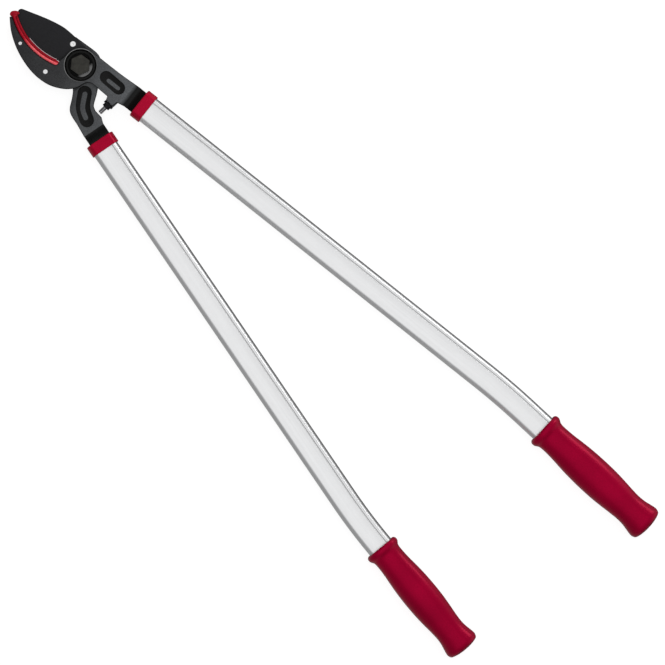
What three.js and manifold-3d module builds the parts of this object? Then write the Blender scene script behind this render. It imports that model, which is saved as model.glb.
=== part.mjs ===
// Long-handled lopper: a hooked anvil lever and a blade lever crossed on one pivot
// bolt, each carrying an oval tube with a moulded grip. Millimetres, +Z up.
// The pivot axis is Z, the jaws point to +Y, and the tool lies closed on the end of
// its pivot bolt and on its two grips, which meet the plane z = 0.
// Heights inside the tool are taken from the blade's mid-plane.
import * as THREE from "three";
import { mergeVertices } from "three/addons/utils/BufferGeometryUtils.js";
import Module from "manifold-3d";

// ---- driving dimensions ----------------------------------------------------
const clear = 0.3; // between pieces that rest on each other
const run = 0.15; // all round, between round pieces and their holes
const edge_break = 0.5; // on the forged plates
const lap = 1; // how far a cutter or a joined piece runs past the face

const mid_z = 15; // blade's mid-plane and both tube axes, above the resting plane
const blade_t = 4.2;
const plate_t = 5.5; // both levers

const bolt_r = 6;
const bolt_chamfer = 0.7;
const bush_r = 7.6;
const head_af = 19; // across the flats of the bolt's head and its nut
const head_turn = -18.9; // angle of the head's first corner
const nut_turn = 12;
const face_r = 9.2; // flat face of the head and the nut, inside their chamfer
const face_chamfer = 1.1;
const washer_r = 12.6;
const washer_t = 1.6;
const recess_r = 16.4; // mouth of the recess round the bolt's head
const recess_floor_r = 13.4;
const recess_d = 2.6;
const boss_r = 18.6;
const blade_head_r = 17.2; // round end of the blade

const edge_x = 51.7; // centre of the curved cutting edge
const edge_y = 50.3;
const edge_r = 72.4;
const edge_gap = 0.2; // closed blade to the anvil strip
const heel_deg = 203.9; // ends of the anvil strip, about the edge's centre
const tip_deg = 152.3;
const grind_w = 5.2; // ground bevel behind the edge

const strip_w = 5.6;
const strip_top = 8.6;
const strip_drop = 0.6; // strip below the blade's back
const ledge_w = 2.5; // strip's lower step, next to the blade
const ledge_top = 4;
const lip_w = 1.5; // strip's lip behind the hook

const pin_tip = { x: -30.9, y: 59.9, r: 1.9 };
const pin_heel = { x: -31.8, y: 20.1, r: 2.5 };
const blade_pin = { x: 9.2, y: 22.1, r: 3.1 };

const panel_d = 2.2; // sunk panels of both levers
const panel_right = { floor: 4.8, slope: 3.6 };
const panel_left = { floor: 5.4, slope: 4.3 };

const screw_r = 2.6; // stop screw
const screw_y = -49.6;
const screw_z = -4.6;
const screw_tip_chamfer = 0.6;
const lug_x = -5.2; // lug's face, against the lock nut
const lug_below = 5.6; // lug under the screw's axis
const stop_x = -21.2; // face on the blade lever that the screw meets
const stop_gap = 1.7;
const lock_af = 10;
const lock_t = 3;
const lock_collar_r = 4.2;
const lock_len = 6.2;

const collar_y = -70.4; // start of the collars
const collar_len = 12.2;
const collar_wall = 1.4;
const tube_t = 16;
const tube_side = 5.3; // width of the tube's rounded side
const tube_wall = 1.6;
const groove_in = 6.4; // groove's centre from the tube's edge
const groove_w = 1.9;
const groove_d = 0.7;
const tongue_w = 21;
const tongue_len = 46;
const set_lap = 1.6; // set's run under the lever's flat head
const rivet_s = 26; // tang rivet along the handle
const rivet_r = 2.4;
const bend_len = 60;
const grip_len = 152.6;
const grip_half = 19.7; // widest half width of a grip
const tube_in_grip = 0.88; // of the grip's length

// `x`, `turn`: where the handle starts, and its angle from -Y; `shown`: tube between
// collar and grip; `bend`, `bend_before`: its angle, and its start before the grip;
// `grip_w`, `grip_l`: the grip against the full-size one; `tang`: sides of the lever's
// end across the handle; `set_len`: length of the set down to the tongue.
const right = {
  name: "right",
  x: 18.2,
  turn: 8.64,
  tube_w: 29.6,
  shown: 533.4,
  bend: -4.4,
  bend_before: 85,
  grip_w: 1,
  grip_l: 1,
  tang: [-12.8, 12.8],
  set_len: 8,
};
const left = {
  name: "left",
  x: -38.9,
  turn: -8.64,
  tube_w: 28.6,
  shown: 508.4,
  bend: 5.4,
  bend_before: 64,
  grip_w: 0.955,
  grip_l: 0.917,
  tang: [-11.6, 12.9],
  set_len: 11,
};

// Half widths of the full-size grip, at lengths from its rim.
const grip_profile = [
  [0, 18],
  [1.6, 19.2],
  [4.2, grip_half],
  [6.8, 19],
  [10.5, 16.9],
  [17, 16.4],
  [29, 16.9],
  [42, 18.1],
  [55, 19],
  [70, 19.4],
  [86, 19.2],
  [99, 18.4],
  [112, 17.2],
  [122, 16.6],
  [130, 17],
  [137, 18.3],
  [142.5, 19.3],
  [146, 19.2],
  [149.4, 17.4],
  [151.2, 12.5],
  [152.25, 6.5],
  [grip_len, 0],
];

// ---- worked out from them --------------------------------------------------
const half_blade = blade_t / 2;
const half_plate = plate_t / 2;
const plate_in = half_blade + clear; // levers' faces next to the blade
const plate_out = plate_in + plate_t;
const layer = plate_in + half_plate; // levers' mid-planes
const far = mid_z + 10; // reach of a cutter that goes right through

const washer_z = plate_out - recess_d + clear;
const head_z = washer_z + washer_t;
const rear_washer_z = -plate_out - 0.5;
const nut_z = rear_washer_z - washer_t - clear;

const strip_in_r = edge_r + edge_gap;
const strip_out_r = edge_r + strip_w;
const hook_r = strip_out_r + clear;

// ---- solids ----------------------------------------------------------------
const wasm = await Module();
wasm.setup();
const rad = (degrees) => (degrees * Math.PI) / 180;

function solid(geometry, matrix) {
  const loose = geometry.index ? geometry.toNonIndexed() : geometry;
  const bare = new THREE.BufferGeometry();
  bare.setAttribute("position", loose.getAttribute("position").clone());
  if (matrix) bare.applyMatrix4(matrix);
  const merged = mergeVertices(bare, 1e-4);
  const corners = new Uint32Array(merged.index.array);
  const build = () =>
    new wasm.Manifold(
      new wasm.Mesh({
        numProp: 3,
        vertProperties: merged.attributes.position.array,
        triVerts: corners,
      }),
    );
  const made = build();
  if (made.volume() > 0) return made;
  for (let i = 0; i < corners.length; i += 3) {
    [corners[i + 1], corners[i + 2]] = [corners[i + 2], corners[i + 1]];
  }
  return build();
}

function piece(name, made, look) {
  const m = made.getMesh();
  const position = new Float32Array(m.numVert * 3);
  for (let i = 0; i < m.numVert; i++) {
    const start = i * m.numProp;
    position.set(m.vertProperties.subarray(start, start + 3), i * 3);
  }
  const g = new THREE.BufferGeometry()
    .setAttribute("position", new THREE.BufferAttribute(position, 3))
    .setIndex(new THREE.BufferAttribute(m.triVerts, 1))
    .toNonIndexed();
  g.computeVertexNormals();
  const mesh = new THREE.Mesh(g, new THREE.MeshStandardMaterial(look));
  mesh.name = name;
  return mesh;
}

// A flat outline raised from z0 to z1, with its edges broken.
function plate(shape, z0, z1, broken = edge_break) {
  const g = new THREE.ExtrudeGeometry(shape, {
    depth: z1 - z0 - 2 * broken,
    bevelEnabled: broken > 0,
    bevelThickness: broken,
    bevelSize: broken,
    bevelOffset: -broken,
    bevelSegments: 1,
  });
  g.translate(0, 0, z0 + broken);
  return solid(g);
}

// A turned piece about the Z axis through (x, y), from [radius, z] points.
function turned(profile, x = 0, y = 0, segments = 32) {
  const g = new THREE.LatheGeometry(points(profile), segments);
  g.rotateX(Math.PI / 2);
  g.translate(x, y, 0);
  return solid(g);
}

// A turned ring: inner radius r0, outer radius r1.
function ring(r0, r1, z0, z1) {
  return turned([
    [r0, z0],
    [r1, z0],
    [r1, z1],
    [r0, z1],
    [r0, z0],
  ]);
}

function disc(r, z0, z1, x = 0, y = 0) {
  const segments = r > 4 ? 32 : 24;
  const g = new THREE.CylinderGeometry(r, r, z1 - z0, segments);
  g.rotateX(Math.PI / 2);
  g.translate(x, y, (z0 + z1) / 2);
  return solid(g);
}

const boreFor = ({ x, y, r }) => disc(r + run, -far, far, x, y);

function block(x0, x1, y0, y1, z0, z1) {
  const g = new THREE.BoxGeometry(x1 - x0, y1 - y0, z1 - z0);
  g.translate((x0 + x1) / 2, (y0 + y1) / 2, (z0 + z1) / 2);
  return solid(g);
}

// ---- outlines --------------------------------------------------------------
const points = (list) => list.map(([x, y]) => new THREE.Vector2(x, y));
const onEdge = (r, degrees) => [
  edge_x + r * Math.cos(rad(degrees)),
  edge_y + r * Math.sin(rad(degrees)),
];

// A closed outline made of straight stretches, arcs and smooth curves, each with
// as many points as it needs.
class Outline {
  constructor(x, y) {
    this.list = [new THREE.Vector2(x, y)];
  }
  to(x, y) {
    const last = this.list[this.list.length - 1];
    const next = new THREE.Vector2(x, y);
    if (last.distanceTo(next) > 0.05) this.list.push(next);
    return this;
  }
  arc(cx, cy, r, from, to, steps) {
    for (let i = 0; i <= steps; i++) {
      const a = rad(from + ((to - from) * i) / steps);
      this.to(cx + r * Math.cos(a), cy + r * Math.sin(a));
    }
    return this;
  }
  edgeArc(r, from, to, steps) {
    return this.arc(edge_x, edge_y, r, from, to, steps);
  }
  smooth(through, steps) {
    const start = this.list[this.list.length - 1];
    const curve = new THREE.SplineCurve([start, ...points(through)]);
    curve.getSpacedPoints(steps).forEach((q) => this.to(q.x, q.y));
    return this;
  }
  shape() {
    const last = this.list[this.list.length - 1];
    if (last.distanceTo(this.list[0]) < 0.05) this.list.pop();
    return new THREE.Shape(this.list);
  }
}

function hexagon(af, turn) {
  const r = af / Math.sqrt(3);
  const hex = new Outline(r * Math.cos(rad(turn)), r * Math.sin(rad(turn)));
  return hex.arc(0, 0, r, turn, turn + 360, 6).shape();
}

// A band `half` wide on each side of a line, with round ends.
function bandAlong(line, half) {
  const path = new THREE.CatmullRomCurve3(
    line.map(([x, y]) => new THREE.Vector3(x, y, 0)),
  );
  const steps = line.length > 2 ? 8 : 1;
  const sides = [];
  for (let i = 0; i <= steps; i++) {
    sides.push([path.getPoint(i / steps), path.getTangent(i / steps)]);
  }
  const band = [];
  const walk = (sign) =>
    sides.forEach(([p, t]) =>
      band.push([p.x - sign * t.y * half, p.y + sign * t.x * half]),
    );
  const roundEnd = ([p, t], sign) => {
    const from = Math.atan2(sign * t.x, -sign * t.y);
    for (let k = 1; k < 6; k++) {
      const a = from - (Math.PI * k) / 6;
      band.push([p.x + half * Math.cos(a), p.y + half * Math.sin(a)]);
    }
  };
  walk(1);
  roundEnd(sides[steps], 1);
  sides.reverse();
  walk(-1);
  roundEnd(sides[steps], -1);
  return new THREE.Shape(points(band));
}

// Cutter for a sunk panel in the face at height z: its floor is a band along `line`,
// and its walls slope out to the face and a little past it.
function sunkPanel(line, { floor, slope }, z) {
  const over = 1.2;
  const g = new THREE.ExtrudeGeometry(bandAlong(line, floor / 2), {
    depth: 0.01,
    bevelEnabled: true,
    bevelThickness: panel_d * over,
    bevelSize: slope * over,
    bevelSegments: 1,
  });
  g.translate(0, 0, z + panel_d * (over - 1));
  return solid(g);
}

// ---- looks -----------------------------------------------------------------
const black = { color: 0x2b2b2d, roughness: 0.55, metalness: 0.3 };
const blade_black = { color: 0x1d1d20, roughness: 0.5, metalness: 0.3 };
const red = { color: 0x8c0628, roughness: 0.4, metalness: 0 };
const strip_red = { color: 0xc01f33, roughness: 0.45, metalness: 0 };
const aluminium = { color: 0xd3d7da, roughness: 0.35, metalness: 0.9 };
const bright = { color: 0xe2e4e6, roughness: 0.2, metalness: 1 };
const zinc = { color: 0x303033, roughness: 0.45, metalness: 0.7 };

// ---- tangs -----------------------------------------------------------------
// Handle frame: it starts at the collar, and runs along -Y before it is turned.
const frameOf = ({ x, turn }) =>
  new THREE.Matrix4()
    .makeTranslation(x, collar_y, 0)
    .multiply(new THREE.Matrix4().makeRotationZ(rad(turn)));

// A point of the tool's plane, `u` across a handle and `s` along it.
function across(side, u, s) {
  const v = new THREE.Vector3(u, -s, 0).applyMatrix4(frameOf(side));
  return [v.x, v.y];
}

const tangEnd = (side, i) =>
  across(side, side.tang[i], -side.set_len - set_lap);

// A side profile of [along the handle, z] points, raised across it from u0 to u1.
function acrossHandle(profile, u0, u1, side) {
  const g = new THREE.ExtrudeGeometry(new THREE.Shape(points(profile)), {
    depth: u1 - u0,
    bevelEnabled: false,
  });
  const turn = new THREE.Matrix4().makeBasis(
    new THREE.Vector3(0, -1, 0),
    new THREE.Vector3(0, 0, 1),
    new THREE.Vector3(-1, 0, 0),
  );
  g.applyMatrix4(turn);
  g.translate(u1, 0, 0);
  return solid(g, frameOf(side));
}

// The set that brings a lever from its own layer to the mid-plane, and the tongue
// that goes on into the tube.
function tang(side, from_z) {
  const low = from_z - half_plate;
  const high = from_z + half_plate;
  const start = -side.set_len - set_lap;
  const bend = -side.set_len * 0.92;
  const end = -1.1;
  const set = acrossHandle(
    [
      [start, low],
      [bend, low],
      [end, -half_plate],
      [-clear, -half_plate],
      [-clear, half_plate],
      [end, half_plate],
      [bend, high],
      [start, high],
    ],
    ...side.tang,
    side,
  );
  const tongue = acrossHandle(
    [
      [-lap, -half_plate],
      [tongue_len, -half_plate],
      [tongue_len, half_plate],
      [-lap, half_plate],
    ],
    -tongue_w / 2,
    tongue_w / 2,
    side,
  );
  return set.add(tongue);
}

function rivetHole(side) {
  const [x, y] = across(side, 0, rivet_s);
  return boreFor({ x, y, r: rivet_r });
}

// ---- anvil lever -----------------------------------------------------------
function anvilOutline() {
  return new Outline(...onEdge(hook_r, tip_deg + 0.3))
    .to(-20, 88)
    .smooth(
      [
        [-27.8, 78],
        [-32.9, 69],
        [-37.3, 58.4],
        [-40.4, 47],
        [-42.1, 35.5],
        [-42.3, 25.6],
        [-41.1, 16.4],
        [-38.6, 7.7],
        [-34.6, 0.1],
        [-29.2, -7],
        [-23.4, -12],
        [-17.4, -15.2],
        [-11.6, -16.4],
        [-7.1, -18.4],
        [-4.4, -22.2],
        [-3.6, -27.2],
      ],
      30,
    )
    .to(-1.7, screw_y + 6.6)
    .to(lug_x + 0.5, screw_y + 5)
    .to(lug_x, screw_y + 4.4)
    .to(lug_x, screw_y - 4.6)
    .to(1.2, screw_y - 5.2)
    .to(...tangEnd(right, 0))
    .to(...tangEnd(right, 1))
    .smooth(
      [
        [25.4, -40.2],
        [23.4, -28.8],
        [21.6, -17.6],
        [20.2, -8.2],
        [boss_r, 0],
      ],
      8,
    )
    .arc(0, 0, boss_r, 0, 104, 18)
    .to(-12.8, 18.5)
    .to(-15.9, 16.9)
    .to(-19, 17.3)
    .edgeArc(hook_r, heel_deg - 0.7, tip_deg + 0.3, 18)
    .shape();
}

function lugOutline() {
  return new Outline(-1.2, screw_y + 6)
    .to(lug_x, screw_y + 5.2)
    .to(lug_x, screw_y - 5.2)
    .to(1.6, screw_y - 5.2)
    .to(6.5, screw_y - 0.2)
    .to(4, screw_y + 6)
    .shape();
}

function boltRecess() {
  return turned([
    [0, plate_out - recess_d],
    [recess_floor_r, plate_out - recess_d],
    [recess_r, plate_out - 0.4],
    [recess_r + 0.5, plate_out + 0.1],
    [0, plate_out + 0.1],
  ]);
}

function screwBore(x0, x1) {
  const g = new THREE.CylinderGeometry(screw_r + run, screw_r + run, x1 - x0, 32);
  g.rotateZ(Math.PI / 2);
  g.translate((x0 + x1) / 2, screw_y, screw_z);
  return solid(g);
}

function anvilLever() {
  const panel_line = [
    [11, -27.8],
    [12.9, -45],
  ];
  return plate(anvilOutline(), plate_in, plate_out)
    .add(plate(lugOutline(), screw_z - lug_below, plate_in + lap))
    .add(tang(right, layer))
    .subtract(boltRecess())
    .subtract(disc(bolt_r + run, 0, far))
    .subtract(boreFor(pin_tip))
    .subtract(boreFor(pin_heel))
    .subtract(screwBore(lug_x - lap, lug_x + 14))
    .subtract(sunkPanel(panel_line, panel_right, plate_out))
    .subtract(rivetHole(right));
}

// ---- blade lever -----------------------------------------------------------
function bladeLeverOutline() {
  return new Outline(16.6, 25.6)
    .to(20.7, 4.6)
    .smooth(
      [
        [21.4, -1.6],
        [20.2, -7.6],
        [14.5, -15.5],
        [5, -23.4],
        [-4.2, -30],
      ],
      9,
    )
    .to(-8.9, -33.4)
    .smooth(
      [
        [-15.3, -37.2],
        [-19.2, -40.2],
        [stop_x, screw_y + 4.8],
      ],
      5,
    )
    .to(stop_x, screw_y - 4.6)
    .to(...tangEnd(left, 1))
    .to(...tangEnd(left, 0))
    .smooth(
      [
        [-46.9, -49.5],
        [-45.2, -42],
        [-44, -34.8],
        [-42.2, -28.6],
        [-38.6, -24.2],
        [-30.2, -18.4],
        [-23.6, -12.6],
        [-19.6, -5],
      ],
      14,
    )
    .smooth(
      [
        [-17.4, 7],
        [-9, 20.5],
        [3, 30],
        [11, 31.6],
        [16.6, 25.6],
      ],
      12,
    )
    .shape();
}

function bladeLever() {
  const panel_line = [
    [-16.6, -23.6],
    [-28.4, -33.6],
    [-34.6, -46.2],
  ];
  return plate(bladeLeverOutline(), -plate_out, -plate_in)
    .add(tang(left, -layer))
    .subtract(disc(bush_r + run, -far, 0))
    .subtract(boreFor(blade_pin))
    .subtract(sunkPanel(panel_line, panel_left, -plate_in))
    .subtract(rivetHole(left));
}

// ---- blade -----------------------------------------------------------------
function bladeOutline() {
  return new Outline(...onEdge(edge_r, heel_deg + 1.1))
    .edgeArc(edge_r, heel_deg + 1.1, tip_deg - 0.1, 22)
    .smooth(
      [
        [-10.4, 86.2],
        [-7.8, 87.2],
        [-5.5, 86.4],
        [-4.2, 84.8],
      ],
      6,
    )
    .smooth(
      [
        [-0.3, 76.7],
        [4.1, 67.6],
        [8.3, 58.3],
        [12, 48.7],
        [14.4, 40.6],
        [15.5, 33],
        [16.1, 25.5],
      ],
      10,
    )
    .arc(0, 0, blade_head_r, 10, -218, 22)
    .shape();
}

// The bevel ground behind the cutting edge leaves a thin land at the front.
function grind() {
  const land = 0.4;
  const profile = [
    [edge_r - grind_w, -half_blade - 0.02],
    [edge_r + lap, -half_blade - 0.02],
    [edge_r + lap, half_blade - land],
    [edge_r - 0.12, half_blade - land - 0.2],
    [edge_r - grind_w, -half_blade - 0.02],
  ];
  const along_edge = block(-30, -10.4, 19.2, 84.5, -far, far);
  return turned(profile, edge_x, edge_y, 160).intersect(along_edge);
}

function blade() {
  return plate(bladeOutline(), -half_blade, half_blade, 0.15)
    .subtract(grind())
    .subtract(disc(bush_r + run, -far, far))
    .subtract(boreFor(blade_pin));
}

// ---- anvil strip and the plate behind it -----------------------------------
// Its wide end at the tip stands round the end of the hook.
function stripOutline() {
  return new Outline(...onEdge(strip_in_r, heel_deg))
    .edgeArc(strip_in_r, heel_deg, tip_deg, 22)
    .to(-11.4, 86.2)
    .to(-10.9, 87.9)
    .to(-11.8, 89.7)
    .to(-14.2, 91)
    .to(-17.2, 91)
    .to(-19.4, 89.6)
    .to(-19.7, 88.5)
    .edgeArc(strip_out_r, tip_deg - 0.4, heel_deg - 1.3, 22)
    .to(-18.8, 17.7)
    .to(-16.2, 17.3)
    .to(-14.4, 18.3)
    .to(-14.3, 19.6)
    .shape();
}

// A band about the edge's centre between two radii and two angles.
function arcBand(r0, r1, from, to, steps) {
  return new Outline(...onEdge(r0, to))
    .edgeArc(r0, to, from, steps)
    .edgeArc(r1, from, to, steps)
    .shape();
}

function anvilStrip() {
  const foot = -half_blade - strip_drop;
  const step = arcBand(strip_in_r - lap, strip_in_r + ledge_w, 155, 205, 22);
  const lip = arcBand(strip_out_r - lap, strip_out_r + lip_w, 154.5, 201.8, 18);
  return plate(stripOutline(), foot, strip_top)
    .add(plate(lip, foot, half_blade, 0.3))
    .subtract(plate(step, ledge_top, strip_top + lap, 0));
}

function anvilBacking() {
  const front_r = strip_out_r + lip_w + clear;
  const outline = new Outline(...onEdge(front_r, 202))
    .edgeArc(front_r, 202, 156.5, 14)
    .smooth(
      [
        [-27.6, 73],
        [-34.4, 59],
        [-38.2, 44],
        [-39.2, 30],
        [-37.6, 17],
        [-33.4, 9.4],
        [-27, 8.2],
        [-22.4, 12.6],
      ],
      14,
    )
    .shape();
  return plate(outline, -half_blade, half_blade, 0.4)
    .subtract(boreFor(pin_tip))
    .subtract(boreFor(pin_heel));
}

// A pin from z0 to z1, a little proud at the front; `head` is its height at the back.
function pin({ x, y, r }, z0, z1, head) {
  const proud = 0.35;
  return turned(
    [
      [0, z0 - head],
      [r * 0.75, z0 - head],
      [r, z0],
      [r, z1],
      [r * 0.8, z1 + proud],
      [0, z1 + proud],
    ],
    x,
    y,
    24,
  );
}

// ---- pivot -----------------------------------------------------------------
// A hexagon from z0 to z1, chamfered at one end: at z1 if `up`, or else at z0.
function hexPrism(turn, z0, z1, up) {
  const wide = head_af / 2 + 2.5;
  const chamfer = [
    [0, z0],
    [up ? wide : face_r, z0],
    [wide, up ? z1 - face_chamfer : z0 + face_chamfer],
    [up ? face_r : wide, z1],
    [0, z1],
  ];
  return plate(hexagon(head_af, turn), z0, z1, 0).intersect(
    turned(chamfer, 0, 0, 48),
  );
}

function pivotBolt() {
  const shank = turned([
    [0, -mid_z],
    [bolt_r - bolt_chamfer, -mid_z],
    [bolt_r, -mid_z + bolt_chamfer],
    [bolt_r, head_z + lap],
    [0, head_z + lap],
  ]);
  return hexPrism(head_turn, head_z, mid_z, true).add(shank);
}

function pivotNut() {
  const bore = disc(bolt_r + run, -far, 0);
  return hexPrism(nut_turn, -mid_z, nut_z, false).subtract(bore);
}

function pivotWasher() {
  return ring(bolt_r + run, washer_r, washer_z, head_z - clear);
}

function rearWasher() {
  return ring(bolt_r + run, washer_r, rear_washer_z - washer_t, rear_washer_z);
}

function pivotBush() {
  return ring(bolt_r + run, bush_r, -plate_out - 0.2, plate_in - run);
}

// ---- stop screw ------------------------------------------------------------
// A turned piece about the screw's axis, from [radius, x] points.
function alongX(profile) {
  const g = new THREE.LatheGeometry(
    profile.map(([r, x]) => new THREE.Vector2(r, -x)),
    32,
  );
  g.rotateZ(Math.PI / 2);
  g.translate(0, screw_y, screw_z);
  return solid(g);
}

function stopScrew() {
  const tip_x = stop_x + stop_gap;
  const end_x = lug_x + 11.7;
  return alongX([
    [0, tip_x],
    [screw_r - 0.5, tip_x],
    [screw_r, tip_x + screw_tip_chamfer],
    [screw_r, end_x],
    [0, end_x],
  ]);
}

function stopLockNut() {
  const face_x = lug_x - clear;
  const hex = new THREE.ExtrudeGeometry(hexagon(lock_af, 90), {
    depth: lock_t,
    bevelEnabled: false,
  });
  hex.rotateY(-Math.PI / 2);
  hex.translate(face_x, screw_y, screw_z);
  const collar = alongX([
    [0, face_x - lap],
    [lock_collar_r, face_x - lap],
    [lock_collar_r, lug_x - lock_len + 0.6],
    [lock_collar_r - 0.7, lug_x - lock_len],
    [0, lug_x - lock_len],
  ]);
  return solid(hex).add(collar).subtract(screwBore(stop_x, 0));
}

// ---- handles ---------------------------------------------------------------
// The tube's section, grown outward by `grow`: flat faces and elliptic sides. With
// `grooved`, a groove runs on the +x side of the front and the -x side of the back.
function oval(width, grow, grooved = false) {
  const flat = width / 2 - tube_side;
  const groove_x = width / 2 - groove_in;
  const rx = tube_side + grow;
  const ry = tube_t / 2 + grow;
  const s = new THREE.Shape();
  const groove = (sign) => {
    s.lineTo(sign * (groove_x - groove_w / 2), sign * ry);
    s.lineTo(sign * (groove_x - groove_w / 4), sign * (ry - groove_d));
    s.lineTo(sign * (groove_x + groove_w / 4), sign * (ry - groove_d));
    s.lineTo(sign * (groove_x + groove_w / 2), sign * ry);
  };
  s.moveTo(-flat, ry);
  if (grooved) groove(1);
  s.lineTo(flat, ry);
  s.absellipse(flat, 0, rx, ry, Math.PI / 2, -Math.PI / 2, true, 0);
  if (grooved) groove(-1);
  s.lineTo(-flat, -ry);
  s.absellipse(-flat, 0, rx, ry, -Math.PI / 2, (-3 * Math.PI) / 2, true, 0);
  return s;
}

const gripStart = (side) => collar_len + side.shown;
const bendStart = (side) => gripStart(side) - side.bend_before;
const gripLength = (side) => grip_len * side.grip_l;
const tubeEnd = (side) => gripStart(side) + gripLength(side) * tube_in_grip;

// A point `x` across the handle at length `s`, with the handle bent.
function along(side, s, x) {
  const hand = Math.sign(side.bend);
  const k = rad(Math.abs(side.bend)) / bend_len;
  const into = s - bendStart(side);
  const a = Math.min(Math.max(into, 0), bend_len) * k;
  const rest = Math.max(into - bend_len, 0);
  const down =
    Math.min(s, bendStart(side)) + Math.sin(a) / k + rest * Math.cos(a);
  const out = (1 - Math.cos(a)) / k + rest * Math.sin(a);
  return [
    hand * out + x * Math.cos(a),
    -down + hand * x * Math.sin(a),
  ];
}

// A section swept along the bent handle from s0 to s1.
function sweep(side, shape, s0, s1) {
  const steps_in_bend = 5;
  const stations = [s0];
  for (let i = 0; i <= steps_in_bend; i++) {
    const s = bendStart(side) + (bend_len * i) / steps_in_bend;
    if (s > s0 && s < s1) stations.push(s);
  }
  stations.push(s1);
  const steps = stations.length - 1;
  const g = new THREE.ExtrudeGeometry(shape, {
    depth: steps,
    steps,
    curveSegments: 7,
    bevelEnabled: false,
  });
  const p = g.attributes.position;
  for (let i = 0; i < p.count; i++) {
    const s = stations[Math.round(p.getZ(i))];
    const [u, v] = along(side, s, p.getX(i));
    p.setXYZ(i, u, v, p.getY(i));
  }
  return solid(g);
}

// A section raised along the straight start of a handle, with its edges broken.
function straight(shape, s0, s1, broken) {
  const g = new THREE.ExtrudeGeometry(shape, {
    depth: s1 - s0 - 2 * broken,
    curveSegments: 8,
    bevelEnabled: broken > 0,
    bevelThickness: broken,
    bevelSize: broken,
    bevelOffset: -broken,
    bevelSegments: 2,
  });
  g.translate(0, 0, s0 + broken);
  g.rotateX(Math.PI / 2);
  return solid(g);
}

// A cap over the tube's end, with a spigot inside the tube round the tongue.
function collar({ tube_w }) {
  const cap = straight(oval(tube_w, collar_wall + clear), 0, collar_len, 0.7);
  const seat = straight(oval(tube_w, clear), 2.2, collar_len + 5, 0);
  const inside = oval(tube_w, -tube_wall - clear);
  const spigot = straight(inside, 1, tongue_len - 4, 0);
  const half_slot = tongue_w / 2 + clear;
  const half_gap = half_plate + clear;
  const slot = block(-half_slot, half_slot, -tongue_len - 5, 5, -half_gap, half_gap);
  return cap
    .subtract(seat)
    .add(spigot)
    .subtract(slot)
    .subtract(boreFor({ x: 0, y: -rivet_s, r: rivet_r }));
}

function tube(side) {
  const section = oval(side.tube_w, 0, true);
  const inside = oval(side.tube_w, -tube_wall).getPoints(7);
  section.holes.push(new THREE.Path(inside.reverse()));
  return sweep(side, section, 2.5, tubeEnd(side)).subtract(
    disc(rivet_r + run, -far, 0, 0, -rivet_s),
  );
}

// Turned to the grip's profile, then pressed flat to the tool's thickness.
function grip(side) {
  const profile = grip_profile.map(([s, r]) => [
    r * side.grip_w,
    -s * side.grip_l,
  ]);
  const body = new THREE.LatheGeometry([new THREE.Vector2(0, 0), ...points(profile)], 26);
  body.scale(1, 1, mid_z / (grip_half * side.grip_w));
  const [u, v] = along(side, gripStart(side), 0);
  const place = new THREE.Matrix4()
    .makeTranslation(u, v, 0)
    .multiply(new THREE.Matrix4().makeRotationZ(rad(side.bend)));
  const socket = sweep(
    side,
    oval(side.tube_w, clear),
    gripStart(side) - 5,
    tubeEnd(side) + clear,
  );
  return solid(body, place).subtract(socket);
}

// A blind rivet on the back, through the tube and the tongue.
function tangRivet() {
  const back = -tube_t / 2;
  const end = half_plate - 0.2;
  return turned(
    [
      [0, back - 1.7],
      [rivet_r, back - 1.5],
      [rivet_r + 1.6, back - clear],
      [rivet_r, back - clear],
      [rivet_r, end],
      [0, end],
    ],
    0,
    -rivet_s,
    24,
  );
}

function handle(side) {
  const group = new THREE.Group();
  group.position.set(side.x, collar_y, 0);
  group.rotation.z = rad(side.turn);
  group.add(
    piece("collar_" + side.name, collar(side), red),
    piece("tube_" + side.name, tube(side), aluminium),
    piece("grip_" + side.name, grip(side), red),
    piece("tang_rivet_" + side.name, tangRivet(), bright),
  );
  return group;
}

// ---- assembly --------------------------------------------------------------
const anvil_side = new THREE.Group();
anvil_side.add(
  piece("anvil_lever", anvilLever(), black),
  piece("anvil_strip", anvilStrip(), strip_red),
  piece("anvil_backing", anvilBacking(), black),
  piece("anvil_pin_tip", pin(pin_tip, -half_blade, plate_out, 0.1), bright),
  piece("anvil_pin_heel", pin(pin_heel, -half_blade, plate_out, 0.1), bright),
  piece("pivot_bolt", pivotBolt(), zinc),
  piece("pivot_washer", pivotWasher(), zinc),
  piece("rear_washer", rearWasher(), zinc),
  piece("pivot_nut", pivotNut(), zinc),
  piece("stop_lock_nut", stopLockNut(), zinc),
  handle(right),
);

const blade_side = new THREE.Group();
blade_side.add(
  piece("blade_lever", bladeLever(), black),
  piece("blade", blade(), blade_black),
  piece("blade_rivet", pin(blade_pin, -plate_out, half_blade, 0.7), bright),
  piece("pivot_bush", pivotBush(), zinc),
  handle(left),
);

const stop = new THREE.Group();
stop.add(piece("stop_screw", stopScrew(), bright));

const tool = new THREE.Group();
tool.position.z = mid_z;
tool.add(anvil_side, blade_side, stop);
const part = new THREE.Group();
part.add(tool);
export default part;
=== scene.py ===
"""A long-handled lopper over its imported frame: forged black levers, a curved blade that
closes on a red anvil strip, and two aluminium tube handles with moulded crimson grips.

Shapes are worked out in millimetres from the mid-plane of the blade, with the pivot
axis at x = y = 0, and become metres in the row frame when a piece is made.
"""

import math

import bmesh
import bpy
from mathutils import Matrix, Vector

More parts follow.
